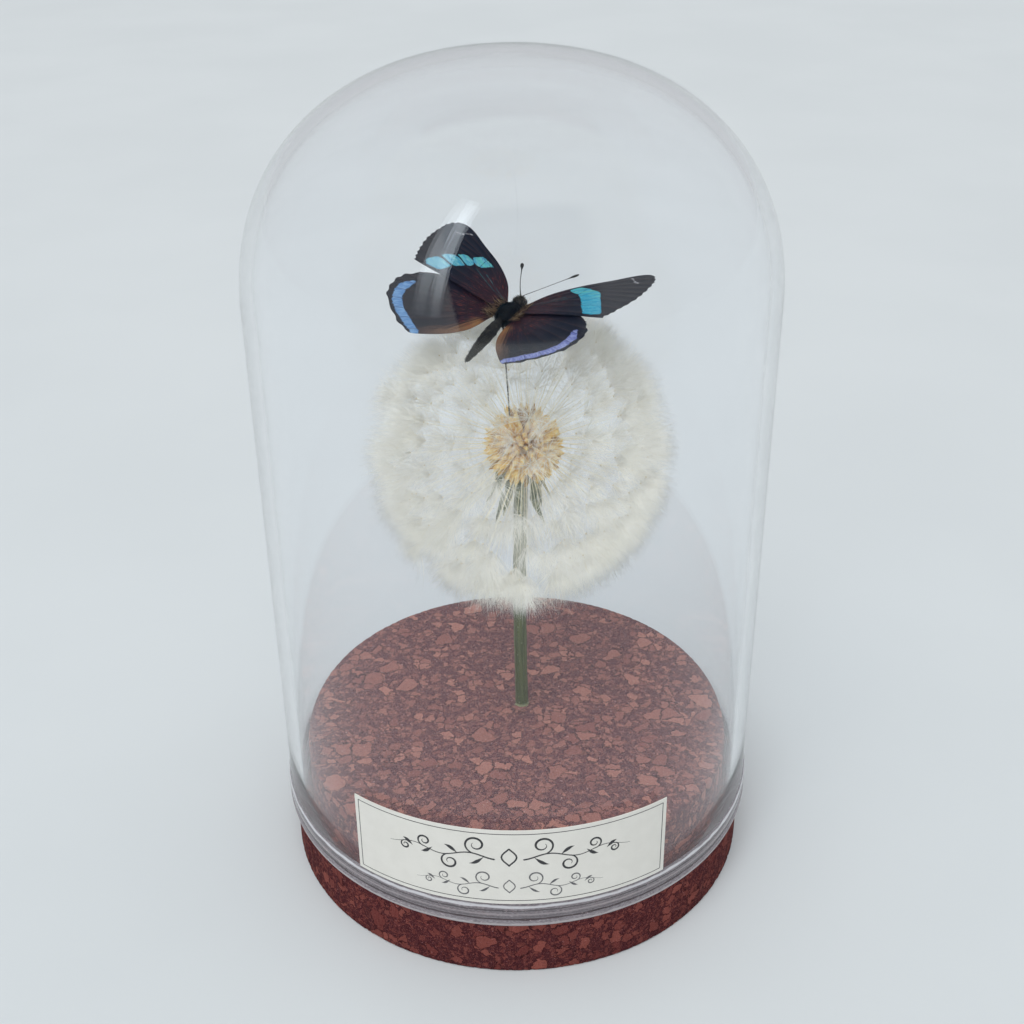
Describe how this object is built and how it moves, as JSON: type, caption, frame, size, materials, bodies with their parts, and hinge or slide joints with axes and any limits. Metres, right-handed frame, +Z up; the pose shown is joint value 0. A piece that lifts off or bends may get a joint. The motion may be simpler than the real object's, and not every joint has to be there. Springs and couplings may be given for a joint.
{
  "type": "insect in glass dome",
  "caption": "Dried butterfly pinned above a dandelion clock, standing on a stepped stone base under a clear glass dome with a paper label.",
  "frame": {"origin": "middle of the base's flat underside", "axes": "+Z up along the dome's axis, -Y towards the label, +X to the right seen from the label"},
  "size_m": [0.0908, 0.0908, 0.1514],
  "materials": {
    "stone": "satin cut agglomerate of dark wine-red grit with pinkish-brown chips",
    "dome_glass": "clear, polished",
    "label_paper": "matt off-white paper with a dark hairline frame",
    "stem": "dried green stalk, slightly ribbed",
    "receptacle": "dry, pitted, tan",
    "bract": "dry, grey-green, papery edge",
    "seed_fluff": "fine cream-white plant down on tan seeds",
    "pin_wire": "dark wire",
    "insect_body": "black scales and hair with a green sheen",
    "wing": "velvety dark scales with turquoise and violet-blue bands"
  },
  "bodies": {
    "root": {"stone_base": "stone", "glass_dome": "dome_glass", "label": "label_paper", "flower_stem": "stem", "receptacle": "receptacle", "bract_1": "bract", "bract_2": "bract", "bract_3": "bract", "bract_4": "bract", "bract_5": "bract", "bract_6": "bract", "bract_7": "bract", "bract_8": "bract", "bract_9": "bract", "bract_10": "bract", "bract_11": "bract", "bract_12": "bract", "seed_ball": "seed_fluff", "mounting_pin": "pin_wire", "thorax": "insect_body", "head": "insect_body", "abdomen": "insect_body", "tongue": "insect_body", "left_forewing": "wing", "right_forewing": "wing", "left_hindwing": "wing", "right_hindwing": "wing", "left_antenna": "insect_body", "right_antenna": "insect_body", "left_middle_leg": "insect_body", "right_middle_leg": "insect_body", "left_hind_leg": "insect_body", "right_hind_leg": "insect_body"}
  },
  "joints": []
}
